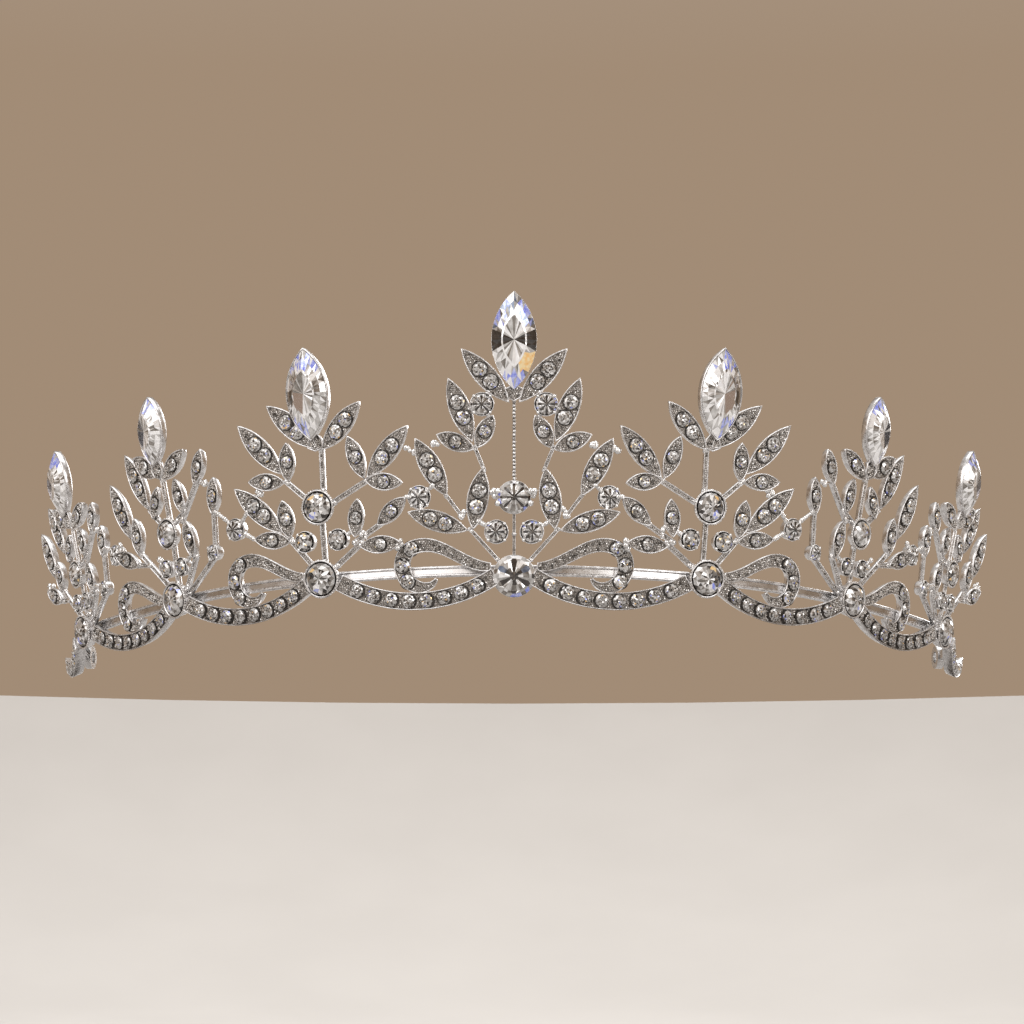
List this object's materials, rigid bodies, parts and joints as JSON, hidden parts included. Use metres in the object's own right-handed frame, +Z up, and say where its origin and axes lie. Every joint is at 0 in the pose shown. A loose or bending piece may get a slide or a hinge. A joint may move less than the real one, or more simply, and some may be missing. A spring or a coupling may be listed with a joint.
{
  "type": "bridal tiara",
  "caption": "Bridal tiara with tall jewelled leaf sprays, marquise crystal tips and scalloped crystal rim on a curved headband.",
  "frame": {"origin": "on the surface the tiara stands on, at the middle of its width and depth", "axes": "+Z up, the front faces -Y, +X is the wearer's left, across the width"},
  "size_m": [0.1616, 0.0874, 0.0478],
  "materials": {
    "rhodium_plate": "bright plated casting, antiqued in the recesses",
    "headband_steel": "polished plated strip",
    "round_crystal": "faceted, foil backed",
    "marquise_crystal": "faceted, with a faint blue and gold iridescence"
  },
  "bodies": {
    "root": {"base_crystals": "round_crystal", "centre_base_setting": "rhodium_plate", "centre_leaves": "rhodium_plate", "centre_marquise_setting": "rhodium_plate", "centre_stems": "rhodium_plate", "centre_upper_setting": "rhodium_plate", "front_scallop_left": "rhodium_plate", "front_scallop_right": "rhodium_plate", "front_scroll_left": "rhodium_plate", "front_scroll_right": "rhodium_plate", "headband": "headband_steel", "inner_base_setting_left": "rhodium_plate", "inner_base_setting_right": "rhodium_plate", "inner_leaves_left": "rhodium_plate", "inner_leaves_right": "rhodium_plate", "inner_marquise_setting_left": "rhodium_plate", "inner_marquise_setting_right": "rhodium_plate", "inner_stems_left": "rhodium_plate", "inner_stems_right": "rhodium_plate", "inner_upper_setting_left": "rhodium_plate", "inner_upper_setting_right": "rhodium_plate", "leaf_crystals": "round_crystal", "marquise_crystals": "marquise_crystal", "mid_base_setting_left": "rhodium_plate", "mid_base_setting_right": "rhodium_plate", "mid_leaves_left": "rhodium_plate", "mid_leaves_right": "rhodium_plate", "mid_marquise_setting_left": "rhodium_plate", "mid_marquise_setting_right": "rhodium_plate", "mid_stems_left": "rhodium_plate", "mid_stems_right": "rhodium_plate", "mid_upper_setting_left": "rhodium_plate", "mid_upper_setting_right": "rhodium_plate", "middle_scallop_left": "rhodium_plate", "middle_scallop_right": "rhodium_plate", "middle_scroll_left": "rhodium_plate", "middle_scroll_right": "rhodium_plate", "outer_base_setting_left": "rhodium_plate", "outer_base_setting_right": "rhodium_plate", "outer_leaves_left": "rhodium_plate", "outer_leaves_right": "rhodium_plate", "outer_marquise_setting_left": "rhodium_plate", "outer_marquise_setting_right": "rhodium_plate", "outer_stems_left": "rhodium_plate", "outer_stems_right": "rhodium_plate", "outer_upper_setting_left": "rhodium_plate", "outer_upper_setting_right": "rhodium_plate", "rear_scallop_left": "rhodium_plate", "rear_scallop_right": "rhodium_plate", "rear_scroll_left": "rhodium_plate", "rear_scroll_right": "rhodium_plate", "scallop_crystals": "round_crystal", "scroll_crystals": "round_crystal", "small_crystals": "round_crystal", "small_settings": "rhodium_plate", "tail_scallop_left": "rhodium_plate", "tail_scallop_right": "rhodium_plate", "upper_crystals": "round_crystal"}
  },
  "joints": []
}
